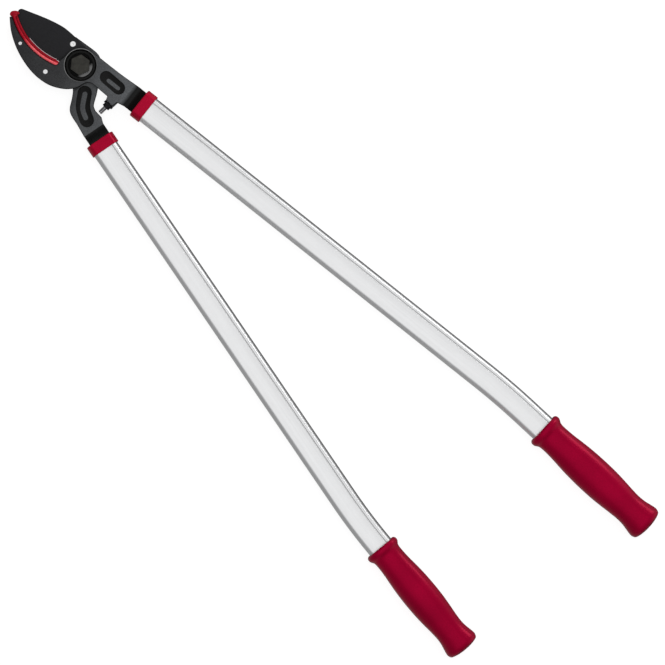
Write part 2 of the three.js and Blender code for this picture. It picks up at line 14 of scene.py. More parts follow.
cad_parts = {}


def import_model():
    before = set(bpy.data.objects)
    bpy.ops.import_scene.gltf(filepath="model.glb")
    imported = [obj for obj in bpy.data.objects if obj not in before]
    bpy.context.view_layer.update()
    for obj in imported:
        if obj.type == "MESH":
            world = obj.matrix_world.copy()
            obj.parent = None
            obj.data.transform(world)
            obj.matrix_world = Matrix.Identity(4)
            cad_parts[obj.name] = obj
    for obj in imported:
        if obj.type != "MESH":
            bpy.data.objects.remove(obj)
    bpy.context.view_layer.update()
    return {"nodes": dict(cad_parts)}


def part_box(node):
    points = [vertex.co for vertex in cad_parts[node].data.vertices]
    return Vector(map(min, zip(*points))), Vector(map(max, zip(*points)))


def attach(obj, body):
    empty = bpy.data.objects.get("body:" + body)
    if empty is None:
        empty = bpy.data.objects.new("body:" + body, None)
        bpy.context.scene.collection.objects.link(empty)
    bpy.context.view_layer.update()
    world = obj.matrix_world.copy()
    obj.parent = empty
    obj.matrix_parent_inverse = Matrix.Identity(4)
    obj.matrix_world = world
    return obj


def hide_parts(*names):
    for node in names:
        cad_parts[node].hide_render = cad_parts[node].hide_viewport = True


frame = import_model()

ANVIL = "anvil_side"
BLADE = "blade_side"
STOP = "stop"

# ---- sizes, in millimetres ----
bolt_low, bolt_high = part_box("pivot_bolt")
MID = 500 * (bolt_low.z + bolt_high.z)  # mid-plane above the resting plane
HEAD_TOP = 1000 * bolt_high.z - MID
BLADE_TOP = 1000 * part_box("blade")[1].z - MID
PLATE_OUT = 7.9  # outer faces of both levers, from the mid-plane
PLATE_IN = 2.4
LAYER = (PLATE_IN + PLATE_OUT) / 2
LEVER_EDGE = 0.8  # rounding of the levers' edges

BOLT_R = 6
BOLT_BORE_R = BOLT_R + 0.15
BUSH_BORE_R = 7.75
WASHER_R = 12.6
WASHER_T = 1.6
HEAD_AF = 19
HEAD_FACE_R = 9.2
HEAD_TURN = -18.9
NUT_TURN = 12
TAB_TURN = 11.1
RECESS_R = 16.4
RECESS_FLOOR_R = 13.4
RECESS_D = 2.6
PANEL_D = 2.3
PANEL_LAP = 0.05  # of a panel's bottom into the lever round it
SET_FADE = 4.5
BOSS_R = 18.6
BLADE_HEAD_R = 17.2

EDGE_X, EDGE_Y, EDGE_R = 51.7, 50.3, 72.4  # circle of the cutting edge
EDGE_GAP = 0.2  # between the edge and the strip
STRIP_W = 5.6
STRIP_TOP = 8.6
LEDGE_W = 2.5
LEDGE_TOP = 4.0
LIP_W = 1.5
UNDERLAP = 0.9  # of the strip's foot under the blade
HEEL_DEG, TIP_DEG = 203.9, 152.3  # ends of the edge, on its circle

# pins: x, y and radius
PIN_TIP = (-30.9, 59.9, 1.9)
PIN_HEEL = (-31.8, 20.1, 2.5)
BLADE_PIN = (9.2, 22.1, 3.1)

SCREW_R = 2.6
THREAD_D = 0.6
THREAD_PITCH = 1.6
SCREW_Y = -49.6
SCREW_Z = -4.6
LUG_X = -5.2
STOP_X = -21.2
LOCK_AF = 10
LOCK_T = 3
LOCK_COLLAR_R = 4.2
LOCK_LEN = 6.2

COLLAR_Y = -70.4
COLLAR_LEN = 12.2
COLLAR_GROW = 1.7
TUBE_T = 16
TUBE_SIDE = 5.3
TUBE_BORE = 0.84  # inner section of a tube over its outer one
TUBE_START = 2.5  # inside the collar
GROOVE_IN = 6.4
GROOVE_W = 1.9
GROOVE_D = 0.4
TONGUE_W = 21
TONGUE_LEN = 46
SET_LAP = 1.6
RIVET_S = 26
BEND_LEN = 60
GRIP_HALF = 19.7
GRIP_LEN = 152.6
TUBE_IN_GRIP = 0.88  # share of the grip that the tube fills
GRIP_PROFILE = [  # (distance from the mouth, half width)
    (1.6, 19.2),
    (4.2, GRIP_HALF),
    (6.8, 19.0),
    (10.5, 16.9),
    (17, 16.4),
    (29, 16.9),
    (42, 18.1),
    (55, 19.0),
    (70, 19.4),
    (86, 19.2),
    (99, 18.4),
    (112, 17.2),
    (122, 16.6),
    (130, 17.0),
    (137, 18.3),
    (142.5, 19.3),
    (146, 19.2),
    (149.4, 17.4),
    (151.2, 12.5),
    (152.25, 6.5),
    (GRIP_LEN, 0),
]


class Handle:
    """One handle's own sizes, and the way from its straight frame to the tool's."""

    def __init__(self, name, body, x, turn, tube_w, shown, bend, bend_before):
        self.name = name
        self.body = body
        self.tube_w = tube_w
        self.grip_start = COLLAR_LEN + shown
        self.bend_start = self.grip_start - bend_before
        self.bend = math.radians(bend)
        self.place = Matrix.Translation((x, COLLAR_Y, 0))
        self.place @= Matrix.Rotation(math.radians(turn), 4, "Z")
        self.grip_w = 1.0  # shares of the full grip's width and length
        self.grip_l = 1.0
        self.tang = (-12.8, 12.8)  # edges of the lever where it meets the handle
        self.set_len = 8
        self.layer = LAYER
        self.black = (-10.6, -2.8)  # stretch along the lever painted black as shade on its set

    def at(self, u, s, z=0.0):
        """A point u across and s along the straight handle, in the tool's frame."""
        return self.place @ Vector((u, -s, z))

    def along(self, u, s, z=0.0):
        """The same with the handle bent."""
        hand = math.copysign(1, self.bend)
        k = abs(self.bend) / BEND_LEN
        into = s - self.bend_start
        a = min(max(into, 0), BEND_LEN) * k
        rest = max(into - BEND_LEN, 0)
        down = min(s, self.bend_start) + math.sin(a) / k + rest * math.cos(a)
        out = (1 - math.cos(a)) / k + rest * math.sin(a)
        x = hand * out + u * math.cos(a)
        y = -down + hand * u * math.sin(a)
        return self.place @ Vector((x, y, z))


RIGHT = Handle("right", ANVIL, 18.2, 8.64, 29.6, 533.4, -4.4, 85)
LEFT = Handle("left", BLADE, -38.9, -8.64, 28.6, 508.4, 5.4, 64)
LEFT.grip_w = 0.955
LEFT.grip_l = 0.917
LEFT.tang = (-11.6, 12.9)
LEFT.set_len = 11
LEFT.layer = -LAYER
LEFT.black = (-11.6, 0)


# ---- materials ----
class Look:
    """A node material being built: a Principled shader with helpers to drive it."""

    def __init__(self, name, color, roughness, metallic=0.0, specular=0.5, tint=(1, 1, 1)):
        self.material = bpy.data.materials.new(name)
        self.material.use_nodes = True
        self.tree = self.material.node_tree
        self.shader = self.tree.nodes["Principled BSDF"]
        self.shader.inputs["Base Color"].default_value = (*color, 1)
        self.shader.inputs["Roughness"].default_value = roughness
        self.shader.inputs["Metallic"].default_value = metallic
        self.shader.inputs["Specular IOR Level"].default_value = specular
        self.shader.inputs["Specular Tint"].default_value = (*tint, 1)
        self.place = self.add("ShaderNodeTexCoord").outputs["Object"]
        self.normal = None

    def add(self, kind, **values):
        node = self.tree.nodes.new(kind)
        for key, value in values.items():
            setattr(node, key, value)
        return node

    def link(self, source, target):
        self.tree.links.new(source, target)

    def flow(self):
        """Coordinates stored on the mesh: round the section, along it, depth in a groove."""
        return self.add("ShaderNodeAttribute", attribute_name="flow").outputs["Vector"]

    def stretched(self, source, scale, turn=0.0):
        mapping = self.add("ShaderNodeMapping")
        mapping.inputs["Scale"].default_value = scale
        mapping.inputs["Rotation"].default_value = (0, 0, turn)
        self.link(source, mapping.inputs["Vector"])
        return mapping.outputs["Vector"]

    def noise(self, scale, detail=3.0, rough=0.55, source=None):
        node = self.add("ShaderNodeTexNoise")
        node.inputs["Scale"].default_value = scale
        node.inputs["Detail"].default_value = detail
        node.inputs["Roughness"].default_value = rough
        self.link(source or self.place, node.inputs["Vector"])
        return node.outputs["Fac"]

    def range(self, source, low, high, to_low, to_high):
        node = self.add("ShaderNodeMapRange")
        node.inputs["From Min"].default_value = low
        node.inputs["From Max"].default_value = high
        node.inputs["To Min"].default_value = to_low
        node.inputs["To Max"].default_value = to_high
        self.link(source, node.inputs["Value"])
        return node.outputs["Result"]

    def math(self, operation, a, b):
        node = self.add("ShaderNodeMath", operation=operation)
        for socket, value in zip(node.inputs, (a, b)):
            if isinstance(value, (int, float)):
                socket.default_value = value
            else:
                self.link(value, socket)
        return node.outputs["Value"]

    def ramp(self, source, stops):
        """A colour ramp from (position, colour) pairs."""
        node = self.add("ShaderNodeValToRGB")
        marks = node.color_ramp.elements
        while len(marks) < len(stops):
            marks.new(0.5)
        for mark, (position, color) in zip(marks, stops):
            mark.position = position
            mark.color = (*color, 1)
        self.link(source, node.inputs["Fac"])
        return node.outputs["Color"]

    def mix(self, factor, a, b, blend="MIX"):
        """Colour a towards colour b by factor, which may be a socket or a number."""
        node = self.add("ShaderNodeMix", data_type="RGBA", blend_type=blend)
        wanted = (("Factor", factor), ("A", a), ("B", b))
        for name, value in wanted:
            kind = "VALUE" if name == "Factor" else "RGBA"
            socket = next(s for s in node.inputs if s.name == name and s.type == kind)
            if isinstance(value, (int, float)):
                socket.default_value = value
            elif isinstance(value, tuple):
                socket.default_value = (*value, 1)
            else:
                self.link(value, socket)
        return next(s for s in node.outputs if s.type == "RGBA")

    def color(self, source):
        self.link(source, self.shader.inputs["Base Color"])

    def roughness(self, source):
        self.link(source, self.shader.inputs["Roughness"])

    def bump(self, height, strength, distance):
        node = self.add("ShaderNodeBump")
        node.inputs["Strength"].default_value = strength
        node.inputs["Distance"].default_value = distance
        self.link(height, node.inputs["Height"])
        if self.normal:
            self.link(self.normal, node.inputs["Normal"])
        self.normal = node.outputs["Normal"]
        self.link(self.normal, self.shader.inputs["Normal"])


def grey(tone):
    return (tone, tone, tone)


def split(look, source, axis):
    """One axis of a vector socket."""
    node = look.add("ShaderNodeSeparateXYZ")
    look.link(source, node.inputs["Vector"])
    return node.outputs[axis]


def radius_of(look, x=0.0, y=0.0):
    """Distance from an upright axis at x, y in millimetres, in millimetres."""
    flat = look.stretched(look.place, (1000, 1000, 0))
    node = look.add("ShaderNodeVectorMath", operation="DISTANCE")
    node.inputs[1].default_value = (x, y, 0)
    look.link(flat, node.inputs[0])
    return node.outputs["Value"]


def towards_collar(look, handle, painted_light_fade):
    """Rises from 0 to 1 over the given millimetres before the black end of a handle's lever; it
    masks the painted shade on the set.
    """
    axis = handle.place.to_3x3() @ Vector((0, -1, 0))
    node = look.add("ShaderNodeVectorMath", operation="DOT_PRODUCT")
    node.inputs[1].default_value = axis
    look.link(look.place, node.inputs[0])
    end = (handle.place.translation.dot(axis) + handle.black[0]) / 1000
    return look.range(node.outputs["Value"], end - painted_light_fade / 1000, end, 0.0, 1.0)


def forged_black():
    """Satin black oxide over forged steel, with painted sheen growing paler towards the handles,
    painted shade at the right set and a painted highlight round the recess.
    """
    look = Look("forged_black", (0.05, 0.05, 0.051), 0.36, metallic=1.0)
    grain = look.noise(900, 4, 0.65)
    cloud = look.noise(38, 3, 0.5)
    # Painted sheen: the overhead light's reflection, paler from the hook towards the handles.
    across = look.math("MULTIPLY", split(look, look.place, "X"), 0.55)
    reach = look.math("SUBTRACT", across, split(look, look.place, "Y"))
    painted_light_fade = look.range(reach, -0.075, 0.062, 0.0, 1.0)
    painted_light_fade = look.math("ADD", painted_light_fade, look.range(cloud, 0.3, 0.7, -0.12, 0.12))
    tone = look.ramp(
        painted_light_fade,
        [
            (0.0, (0.034, 0.034, 0.036)),
            (0.45, (0.049, 0.05, 0.052)),
            (0.7, (0.082, 0.085, 0.089)),
            (1.0, (0.11, 0.115, 0.121)),
        ],
    )
    speck = look.ramp(grain, [(0.35, grey(0.7)), (0.65, grey(1.25))])
    tone = look.mix(1.0, tone, speck, "MULTIPLY")
    # Painted shade: near black on the right lever's set, where its slope turns from the light.
    tone = look.mix(towards_collar(look, RIGHT, SET_FADE), tone, grey(0.008))
    # Painted highlight: a pale ring round the bolt's recess, on the jaw side.
    rim = look.math("SUBTRACT", radius_of(look), RECESS_R + 0.45)
    rim_highlight = look.range(look.math("ABSOLUTE", rim, 0), 0.3, 0.75, 0.9, 0.0)
    jaw_side = look.range(split(look, look.place, "Y"), -0.016, 0.006, 0.15, 1.0)
    rim_highlight = look.math("MULTIPLY", rim_highlight, jaw_side)
    look.color(look.mix(rim_highlight, tone, grey(0.3)))
    look.roughness(look.range(grain, 0.3, 0.7, 0.3, 0.46))
    look.bump(grain, 0.35, 0.00012)
    look.bump(look.noise(190, 3), 0.2, 0.0002)
    return look.material


def painted_shade_black():
    """Painted shade: near black in the recess, the sunk panels, the levers' slopes and edges, and
    the black stretch at each set.
    """
    look = Look("painted_shade_black", grey(0.005), 0.42, specular=0.12)
    grain = look.noise(700, 3)
    look.color(look.ramp(grain, [(0.3, grey(0.003)), (0.7, grey(0.007))]))
    look.roughness(look.range(grain, 0.3, 0.7, 0.32, 0.48))
    look.bump(grain, 0.2, 0.0001)
    return look.material


def blade_black():
    """Smooth matte black coat, lightly brushed along the blade."""
    look = Look("blade_black", (0.012, 0.012, 0.013), 0.5, specular=0.12)
    lines = look.noise(60, 4, 0.6, look.stretched(look.place, (40, 3, 3), 0.35))
    dust = look.noise(1400, 2)
    tone = look.ramp(lines, [(0.3, (0.009, 0.009, 0.010)), (0.7, (0.015, 0.015, 0.017))])
    look.color(tone)
    look.roughness(look.range(dust, 0.3, 0.7, 0.44, 0.56))
    look.bump(dust, 0.12, 0.00006)
    return look.material


def ground_steel():
    """Bright bevel, ground across the edge."""
    look = Look("ground_steel", (0.7, 0.7, 0.71), 0.3, metallic=1.0)
    lines = look.noise(50, 3, 0.6, look.stretched(look.place, (2, 60, 2)))
    look.color(look.ramp(lines, [(0.3, (0.5, 0.34, 0.35)), (0.7, (0.75, 0.56, 0.57))]))
    look.roughness(look.range(lines, 0.3, 0.7, 0.24, 0.4))
    return look.material


def bright_steel():
    """Turned and polished pins, rivets and screw."""
    look = Look("bright_steel", (0.86, 0.86, 0.87), 0.24, metallic=1.0)
    rings = look.noise(260, 3)
    look.color(look.ramp(rings, [(0.3, (0.78, 0.78, 0.79)), (0.7, grey(0.93))]))
    look.roughness(look.range(rings, 0.3, 0.7, 0.17, 0.33))
    look.bump(look.noise(1500, 2), 0.15, 0.00004)
    return look.material


def dark_steel():
    """The smoky plated steel of the stop screw."""
    look = Look("dark_steel", (0.5, 0.5, 0.52), 0.18, metallic=1.0)
    cloud = look.noise(420, 3)
    look.color(look.ramp(cloud, [(0.3, (0.22, 0.22, 0.23)), (0.7, (0.85, 0.85, 0.87))]))
    look.roughness(look.range(cloud, 0.3, 0.7, 0.08, 0.2))
    return look.material


def black_oxide():
    """Oiled black oxide of the bolt, nuts and washers."""
    look = Look("black_oxide", (0.045, 0.044, 0.041), 0.36, metallic=1.0)
    cloud = look.noise(240, 4, 0.6)
    grain = look.noise(1200, 3)
    look.color(
        look.ramp(cloud, [(0.3, (0.036, 0.035, 0.032)), (0.7, (0.054, 0.053, 0.047))])
    )
    look.roughness(look.range(grain, 0.3, 0.7, 0.3, 0.48))
    look.bump(grain, 0.2, 0.00008)
    return look.material


def washer_oxide():
    """The black of the washer, with a painted grey highlight on the side towards the handles."""
    look = Look("washer_oxide", grey(0.006), 0.4, metallic=1.0)
    # Painted highlight: a grey crescent where the washer catches the light, on the side towards
    # the handles.
    side = look.math("DIVIDE", split(look, look.place, "Y"), radius_of(look))
    grain = look.noise(900, 3)
    towards_handles = look.math("MULTIPLY", side, -1000)
    ragged = look.range(grain, 0.3, 0.7, -0.06, 0.06)
    mark = look.math("ADD", towards_handles, ragged)
    painted_highlight = look.range(mark, 0.55, 0.8, 0.0, 1.0)
    look.color(look.ramp(painted_highlight, [(0.0, grey(0.006)), (1.0, grey(0.17))]))
    look.roughness(look.range(grain, 0.3, 0.7, 0.32, 0.48))
    return look.material


def strip_red():
    """Smooth red nylon, with a painted highlight brightening from the dark tip towards the heel
    and painted shade on the ledge.
    """
    look = Look("strip_red", (0.45, 0.02, 0.05), 0.3, specular=0.3, tint=(1, 0.12, 0.18))
    cloud = look.noise(150, 3)
    # Painted highlight: the bead brightens from the dark tip towards the heel.
    painted_light_fade = look.range(split(look, look.place, "Y"), 0.073, 0.047, 0.0, 1.0)
    painted_light_fade = look.math("ADD", painted_light_fade, look.range(cloud, 0.3, 0.7, -0.1, 0.1))
    tone = look.ramp(
        painted_light_fade,
        [
            (0.0, (0.25, 0.004, 0.012)),
            (0.45, (0.33, 0.008, 0.018)),
            (0.75, (0.64, 0.075, 0.085)),
            (1.0, (0.72, 0.11, 0.125)),
        ],
    )
    # Painted shade: the ledge inside the bead stays an even dark red.
    ledge = EDGE_R + EDGE_GAP + LEDGE_W
    shade = look.range(radius_of(look, EDGE_X, EDGE_Y), ledge - 0.15, ledge + 0.25, 0.0, 1.0)
    speck = look.ramp(look.noise(1100, 3, 0.7), [(0.35, grey(0.75)), (0.65, grey(1.2))])
    tone = look.mix(shade, (0.27, 0.008, 0.016), tone)
    look.color(look.mix(1.0, tone, speck, "MULTIPLY"))
    look.roughness(look.range(look.noise(700, 3), 0.3, 0.7, 0.26, 0.4))
    look.bump(look.noise(900, 2), 0.12, 0.00006)
    return look.material


def moulded_red(name, deep, light):
    """Satin red moulding with a fine leathery grain."""
    look = Look(name, light, 0.3, specular=0.95, tint=(1, 0.02, 0.11))
    grain = look.noise(1300, 3, 0.6)
    tone = look.ramp(look.noise(26, 3, 0.5), [(0.3, deep), (0.7, light)])
    pores = look.ramp(grain, [(0.3, grey(0.84)), (0.6, grey(1.06))])
    look.color(look.mix(1.0, tone, pores, "MULTIPLY"))
    look.roughness(look.range(grain, 0.3, 0.7, 0.17, 0.27))
    look.bump(grain, 0.22, 0.0001)
    look.bump(look.noise(210, 2), 0.12, 0.0003)
    return look.material


def drawn_aluminium():
    """Satin anodised tube with fine lines drawn along it, and painted shade in its grooves."""
    look = Look("drawn_aluminium", (0.83, 0.84, 0.85), 0.34, metallic=1.0)
    flow = look.flow()
    fine = look.noise(1.0, 4, 0.7, look.stretched(flow, (3.4, 0.012, 1)))
    broad = look.noise(1.0, 3, 0.5, look.stretched(flow, (0.35, 0.004, 1)))
    cloud = look.noise(1.0, 4, 0.6, look.stretched(flow, (0.12, 0.05, 1)))
    lines = look.ramp(fine, [(0.25, grey(0.87)), (0.75, grey(1.0))])
    bands = look.ramp(broad, [(0.3, grey(0.95)), (0.7, grey(1.0))])
    patches = look.ramp(cloud, [(0.3, grey(0.97)), (0.7, grey(1.0))])
    tone = look.mix(1.0, lines, bands, "MULTIPLY")
    tone = look.mix(1.0, tone, patches, "MULTIPLY")
    # Painted shade: darker the deeper a point lies in a groove.
    groove_shade = look.range(split(look, flow, "Z"), 0.0, 1.0, 0.0, 0.42)
    tone = look.mix(groove_shade, tone, grey(0.3))
    look.color(look.mix(1.0, tone, (0.975, 0.98, 0.99), "MULTIPLY"))
    look.roughness(look.range(fine, 0.3, 0.7, 0.28, 0.44))
    look.bump(fine, 0.2, 0.00005)
    return look.material


FORGED = forged_black()
RECESS = painted_shade_black()
BLADE_COAT = blade_black()
GROUND = ground_steel()
BRIGHT = bright_steel()
SCREW = dark_steel()
OXIDE = black_oxide()
WASHER = washer_oxide()
STRIP = strip_red()
GRIP = moulded_red("grip_red", (0.18, 0.0001, 0.0135), (0.235, 0.0002, 0.018))
COLLAR = moulded_red("collar_red", (0.23, 0.002, 0.015), (0.3, 0.004, 0.02))
ALUMINIUM = drawn_aluminium()


# ---- outlines ----
def polar(cx, cy, r, degrees):
    a = math.radians(degrees)
    return Vector((cx + r * math.cos(a), cy + r * math.sin(a)))


def on_edge(r, degrees):
    """A point at radius r from the centre of the cutting edge."""
    return polar(EDGE_X, EDGE_Y, r, degrees)


def spline(through, per_span):
    """Points of a uniform Catmull-Rom curve through the given ones."""
    n = len(through)
    found = [Vector(through[0])]
    for i in range(n - 1):
        p0 = Vector(through[max(i - 1, 0)])
        p1 = Vector(through[i])
        p2 = Vector(through[i + 1])
        p3 = Vector(through[min(i + 2, n - 1)])
        v0 = (p2 - p0) / 2
        v1 = (p3 - p1) / 2
        for j in range(1, per_span + 1):
            t = j / per_span
            cubic = (2 * p1 - 2 * p2 + v0 + v1) * t**3
            square = (3 * p2 - 3 * p1 - 2 * v0 - v1) * t**2
            found.append(cubic + square + v0 * t + p1)
    return found


class Outline:
    """A closed flat outline of straight stretches, arcs and smooth curves."""

    def __init__(self, start):
        self.points = [Vector(start)]

    def to(self, *places):
        for place in places:
            place = Vector(place).to_2d()
            if (place - self.points[-1]).length > 0.05:
                self.points.append(place)
        return self

    def arc(self, cx, cy, r, start, end, step=4):
        n = max(2, round(abs(end - start) / step))
        return self.to(*(polar(cx, cy, r, start + (end - start) * i / n) for i in range(n + 1)))

    def edge_arc(self, r, start, end):
        return self.arc(EDGE_X, EDGE_Y, r, start, end, 1)

    def smooth(self, *through):
        return self.to(*spline([self.points[-1], *through], 6))

    def loop(self):
        if (self.points[0] - self.points[-1]).length < 0.05:
            self.points.pop()
        return self.points


def circle(x, y, r, steps=64):
    return [polar(x, y, r, 360 * i / steps) for i in range(steps)]


def hexagon_radius(af, turn, degrees):
    """Distance from the centre to a hexagon's side, in that direction."""
    a = (degrees - turn) % 60 - 30
    return af / 2 / math.cos(math.radians(a))


def rounded(profile, radius, steps=4):
    """An open 2-D profile with its inner corners rounded."""
    found = [Vector(profile[0])]
    for before, corner, after in zip(profile, profile[1:], profile[2:]):
        corner = Vector(corner)
        a = Vector(before) - corner
        b = Vector(after) - corner
        cut = min(radius, a.length * 0.45, b.length * 0.45)
        start = corner + a.normalized() * cut
        end = corner + b.normalized() * cut
        for i in range(steps + 1):
            t = i / steps
            found.append(start * (1 - t) ** 2 + corner * 2 * t * (1 - t) + end * t**2)
    found.append(Vector(profile[-1]))
    return found


def closed_rounded(corners, radius, steps=4):
    """A closed section with all its corners rounded."""
    loop = rounded([*corners, corners[0], corners[1]], radius, steps)
    return loop[1:-1]


# ---- meshes ----
FLAT = 0.9999  # a face this level stays flat
SHARP_DEG = 38


def plate(outline, holes, low, high, radius, steps=3):
    """A flat plate with rounded edges and through holes, as a bmesh in millimetres."""
    curve = bpy.data.curves.new("outline", "CURVE")
    curve.dimensions = "2D"
    curve.fill_mode = "BOTH"
    curve.extrude = (high - low) / 2 - radius
    curve.bevel_depth = radius
    curve.bevel_resolution = steps
    curve.offset = -radius
    for loop in (outline, *holes):
        line = curve.splines.new("POLY")
        line.points.add(len(loop) - 1)
        for point, place in zip(line.points, loop):
            point.co = (place[0], place[1], 0, 1)
        line.use_cyclic_u = True
    holder = bpy.data.objects.new("outline", curve)
    bpy.context.scene.collection.objects.link(holder)
    graph = bpy.context.evaluated_depsgraph_get()
    filled = bpy.data.meshes.new_from_object(holder.evaluated_get(graph))
    shape = bmesh.new()
    shape.from_mesh(filled)
    bmesh.ops.remove_doubles(shape, verts=shape.verts, dist=1e-4)
    bmesh.ops.translate(shape, verts=shape.verts, vec=(0, 0, (low + high) / 2))
    bpy.data.objects.remove(holder)
    bpy.data.curves.remove(curve)
    bpy.data.meshes.remove(filled)
    return shape


def skin(rows_of_points, closed_up):
    """Faces between rows of points; closed_up also joins the last row to the first."""
    shape = bmesh.new()
    rows = [[shape.verts.new(p) for p in section] for section in rows_of_points]
    last = len(rows) if closed_up else len(rows) - 1
    for k in range(last):
        row = rows[k]
        after = rows[(k + 1) % len(rows)]
        for i in range(len(row)):
            j = (i + 1) % len(row)
            shape.faces.new((row[i], row[j], after[j], after[i]))
    return shape, rows


def loft(sections):
    """A closed body over sections with a flat face at each end, which come last."""
    shape, rows = skin(sections, closed_up=False)
    shape.faces.new(list(reversed(rows[0])))
    shape.faces.new(rows[-1])
    bmesh.ops.recalc_face_normals(shape, faces=shape.faces)
    return shape


def hollow(sections):
    """A closed body whose last section joins its first, with a hole through it."""
    shape, _ = skin(sections, closed_up=True)
    bmesh.ops.recalc_face_normals(shape, faces=shape.faces)
    return shape


def circles(profile, x=0.0, y=0.0, steps=64):
    """Round sections about Z from (radius, z) points."""
    sections = []
    for r, z in profile:
        sections.append([(p.x, p.y, z) for p in circle(x, y, max(r, 0.004), steps)])
    return sections


def turned(profile, x=0.0, y=0.0, steps=64):
    """A piece turned about Z from (radius, z) points; radius 0 closes it."""
    return loft(circles(profile, x, y, steps))


def ring(corners, soft=0.3, steps=64):
    """A turned ring from the (radius, z) corners of its section, softened."""
    return hollow(circles(closed_rounded(corners, soft), steps=steps))


def washer_section(inner, outer, low, high):
    """The (radius, z) corners of a flat washer."""
    return [(inner, low), (outer, low), (outer, high), (inner, high)]


def joined(*shapes):
    """Several bmeshes as one; the given ones are used up."""
    whole = bmesh.new()
    for shape in shapes:
        part = bpy.data.meshes.new("part")
        shape.to_mesh(part)
        shape.free()
        whole.from_mesh(part)
        bpy.data.meshes.remove(part)
    return whole


def moved(shape, matrix):
    bmesh.ops.transform(shape, matrix=matrix, verts=shape.verts)
    return shape


def make(name, shape, looks, body, slot, *nodes, flow=None):
    """Turns a bmesh in millimetres into a piece that stands for CAD nodes."""
    for face in shape.faces:
        face.smooth = abs(face.normal.z) < FLAT
    mesh = bpy.data.meshes.new(name)
    moved(shape, Matrix.Translation((0, 0, MID)))
    moved(shape, Matrix.Scale(0.001, 4))
    shape.to_mesh(mesh)
    shape.free()
    mesh.set_sharp_from_angle(angle=math.radians(SHARP_DEG))
    for look in looks if isinstance(looks, tuple) else (looks,):
        mesh.materials.append(look)
    if flow:
        lay = mesh.attributes.new("flow", "FLOAT_VECTOR", "POINT")
        lay.data.foreach_set("vector", [c for place in flow for c in place])
    piece = bpy.data.objects.new(name, mesh)
    bpy.context.scene.collection.objects.link(piece)
    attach(piece, body)
    if nodes:
        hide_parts(*nodes)
    return piece


# ---- levers ----
def band_along(line, half, steps=8):
    """A loop at `half` round a line, with round ends."""
    path = spline(line, 6)
    tangents = []
    for i in range(len(path)):
        step = path[min(i + 1, len(path) - 1)] - path[max(i - 1, 0)]
        tangents.append(step.normalized())
    loop = []
    for sign in (1, -1):
        stations = list(zip(path, tangents))[::sign]
        for p, t in stations:
            loop.append(p + Vector((-t.y, t.x)) * half * sign)
        p, t = stations[-1]
        start = math.degrees(math.atan2(t.x * sign, -t.y * sign))
        for k in range(1, steps):
            loop.append(polar(p.x, p.y, half, start - 180 * k / steps))
    return loop


def panel(line, floor_line, mouth, floor, low, high):
    """The bottom of a sunk panel, filling its hole: flush behind, sloping to a flat floor."""
    back = [(mouth + 0.9, low - 0.02), (mouth + 0.9, low + 0.4), (mouth, low + 1.4)]
    wall = rounded(
        [
            (mouth, high - 0.9),
            (mouth - 0.1, high - 1.0),
            (floor, high - PANEL_D),
            (floor * 0.8, high - PANEL_D),
        ],
        0.9,
        5,
    )
    sections = []
    for half, z in (*back, *wall):
        t = min(max((mouth - half) / (mouth - floor), 0), 1)
        here = [Vector(a).lerp(Vector(b), t) for a, b in zip(line, floor_line)]
        sections.append([(p.x, p.y, z) for p in band_along(here, half)])
    shape = loft(sections)
    # All but the back and the middle of the floor take the painted-shade material.
    for face in shape.faces[:-2]:
        face.material_index = 1
    return shape


def with_set(shape, handle):
    """Bends a lever's end from its own layer down to the mid-plane."""
    cuts = 12
    start = -handle.set_len * 0.96
    end = -0.9
    normal = handle.place.to_3x3() @ Vector((0, -1, 0))
    steps = [start + (end - start) * i / cuts for i in range(cuts + 1)]
    for s in (*steps, *handle.black):
        parts = [*shape.verts, *shape.edges, *shape.faces]
        bmesh.ops.bisect_plane(
            shape, geom=parts, plane_co=handle.at(0, s), plane_no=normal, dist=1e-5
        )
    back = handle.place.inverted()
    for v in shape.verts:
        s = -(back @ v.co).y
        t = min(max((s - start) / (end - start), 0), 1)
        v.co.z -= handle.layer * t * t * (3 - 2 * t)
    shape.normal_update()
    # Faces in the black stretch and steep faces, the edges among them, take the painted-shade
    # material.
    for face in shape.faces:
        s = -(back @ face.calc_center_median()).y
        if handle.black[0] < s < handle.black[1] or abs(face.normal.z) < 0.9:
            face.material_index = 1
    return shape


def tang_outline(outline, handle, clockwise):
    """The end of a lever: full width through the set, then the tongue in the tube."""
    lap = -handle.set_len - SET_LAP
    first, last = handle.tang if clockwise else reversed(handle.tang)
    half = math.copysign(TONGUE_W / 2, first)
    return outline.to(
        handle.at(first, lap),
        handle.at(first, -0.3),
        handle.at(half, -0.3),
        handle.at(half, TONGUE_LEN),
        handle.at(-half, TONGUE_LEN),
        handle.at(-half, -0.3),
        handle.at(last, -0.3),
        handle.at(last, lap),
    )


